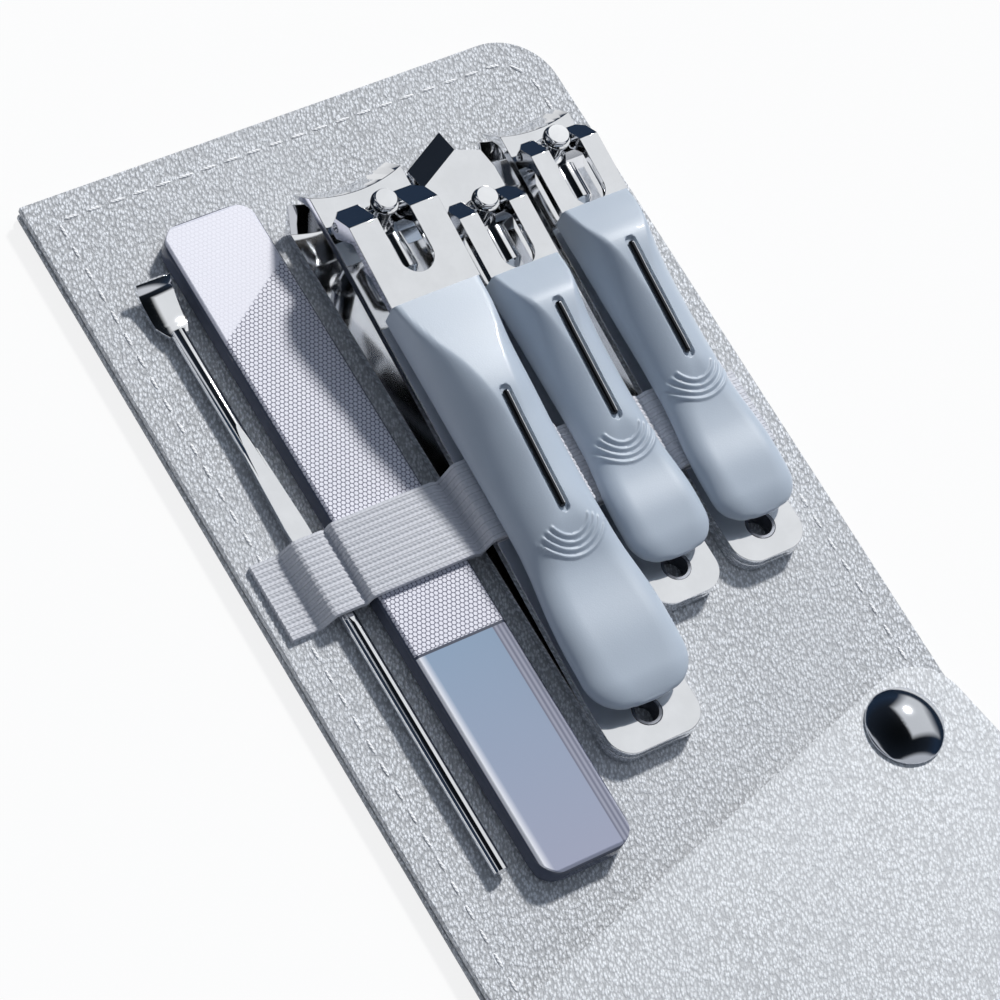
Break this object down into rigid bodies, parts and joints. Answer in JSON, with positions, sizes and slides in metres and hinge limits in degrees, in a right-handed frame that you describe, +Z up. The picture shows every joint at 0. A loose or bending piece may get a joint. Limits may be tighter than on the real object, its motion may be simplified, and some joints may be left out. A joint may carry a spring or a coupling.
{
  "type": "manicure set case",
  "caption": "Stitched leatherette manicure case panel with a snap flap and an elastic band that holds a cuticle pusher, a glass nail file and three lever nail clippers.",
  "frame": {"origin": "middle of the whole object's footprint, on the underside of the outer cover", "axes": "+X across the panel from the pusher to the small clipper, +Y from the folded flap towards the heads of the tools, +Z up, away from the table"},
  "size_m": [0.0808, 0.1446, 0.0168],
  "materials": {
    "leatherette": "coarse grained pale silver grey",
    "flap_leatherette": "finer grained pale silver grey",
    "board": "plain stiffening board",
    "elastic": "ribbed elastic webbing",
    "snap_metal": "polished",
    "tool_chrome": "polished",
    "grip_plastic": "satin silver blue",
    "file_glass": "clear with an etched file zone"
  },
  "bodies": {
    "case": {"outer_cover": "leatherette", "board": "board", "lining_panel": "leatherette", "flap_fold": "flap_leatherette", "elastic_band": "elastic", "snap_stud": "snap_metal", "snap_rivet": "snap_metal"},
    "flap": {"flap_outer": "flap_leatherette", "flap_lining": "leatherette", "snap_cap": "snap_metal", "snap_socket": "snap_metal"},
    "pusher": {"cuticle_pusher": "tool_chrome"},
    "file": {"glass_file": "file_glass"},
    "large_clipper": {"large_lower_arm": "tool_chrome", "large_tail_eyelet": "tool_chrome", "large_post": "tool_chrome", "large_cross_pin": "tool_chrome"},
    "large_upper": {"large_upper_arm": "tool_chrome"},
    "large_lever": {"large_lever": "tool_chrome", "large_grip": "grip_plastic", "large_inlay": "tool_chrome"},
    "slant_clipper": {"slant_lower_arm": "tool_chrome", "slant_tail_eyelet": "tool_chrome", "slant_post": "tool_chrome", "slant_cross_pin": "tool_chrome"},
    "slant_upper": {"slant_upper_arm": "tool_chrome"},
    "slant_lever": {"slant_lever": "tool_chrome", "slant_grip": "grip_plastic", "slant_inlay": "tool_chrome"},
    "small_clipper": {"small_lower_arm": "tool_chrome", "small_tail_eyelet": "tool_chrome", "small_post": "tool_chrome", "small_cross_pin": "tool_chrome"},
    "small_upper": {"small_upper_arm": "tool_chrome"},
    "small_lever": {"small_lever": "tool_chrome", "small_grip": "grip_plastic", "small_inlay": "tool_chrome"}
  },
  "joints": [
    {"name": "flap_hinge", "type": "hinge", "parent": "case", "child": "flap", "pos_m": [0, -0.06968, 0.00265], "axis": [1, 0, 0], "range_deg": [0, 175], "deforming": ["flap_fold"]},
    {"name": "pusher_slide", "type": "slide", "parent": "case", "child": "pusher", "axis": [0, 1, 0], "range_m": [0, 0.048]},
    {"name": "file_slide", "type": "slide", "parent": "case", "child": "file", "axis": [0, 1, 0], "range_m": [0, 0.05]},
    {"name": "large_slide", "type": "slide", "parent": "case", "child": "large_clipper", "axis": [0, 0.9963, 0.0864], "range_m": [0, 0.042]},
    {"name": "large_squeeze", "type": "hinge", "parent": "large_clipper", "child": "large_upper", "pos_m": [-0.00546, -0.01247, 0.0038], "axis": [-1, 0, 0], "range_deg": [0, 1.5], "stiffness_Nm_per_rad": 1},
    {"name": "large_lift", "type": "hinge", "parent": "large_clipper", "child": "large_lever", "pos_m": [-0.00546, 0.05063, 0.01379], "axis": [-1, 0, 0], "range_deg": [0, 45]},
    {"name": "slant_slide", "type": "slide", "parent": "case", "child": "slant_clipper", "axis": [0, 0.9973, 0.0737], "range_m": [0, 0.027]},
    {"name": "slant_squeeze", "type": "hinge", "parent": "slant_clipper", "child": "slant_upper", "pos_m": [0.00814, 0.00222, 0.0038], "axis": [-1, 0, 0], "range_deg": [0, 1.5], "stiffness_Nm_per_rad": 1},
    {"name": "slant_lift", "type": "hinge", "parent": "slant_clipper", "child": "slant_lever", "pos_m": [0.00814, 0.04763, 0.01149], "axis": [-1, 0, 0], "range_deg": [0, 45]},
    {"name": "small_slide", "type": "slide", "parent": "case", "child": "small_clipper", "axis": [0, 0.9973, 0.0729], "range_m": [0, 0.026]},
    {"name": "small_squeeze", "type": "hinge", "parent": "small_clipper", "child": "small_upper", "pos_m": [0.02104, 0.00282, 0.0038], "axis": [-1, 0, 0], "range_deg": [0, 1.5], "stiffness_Nm_per_rad": 1},
    {"name": "small_lift", "type": "hinge", "parent": "small_clipper", "child": "small_lever", "pos_m": [0.02104, 0.05183, 0.01188], "axis": [-1, 0, 0], "range_deg": [0, 45]}
  ]
}
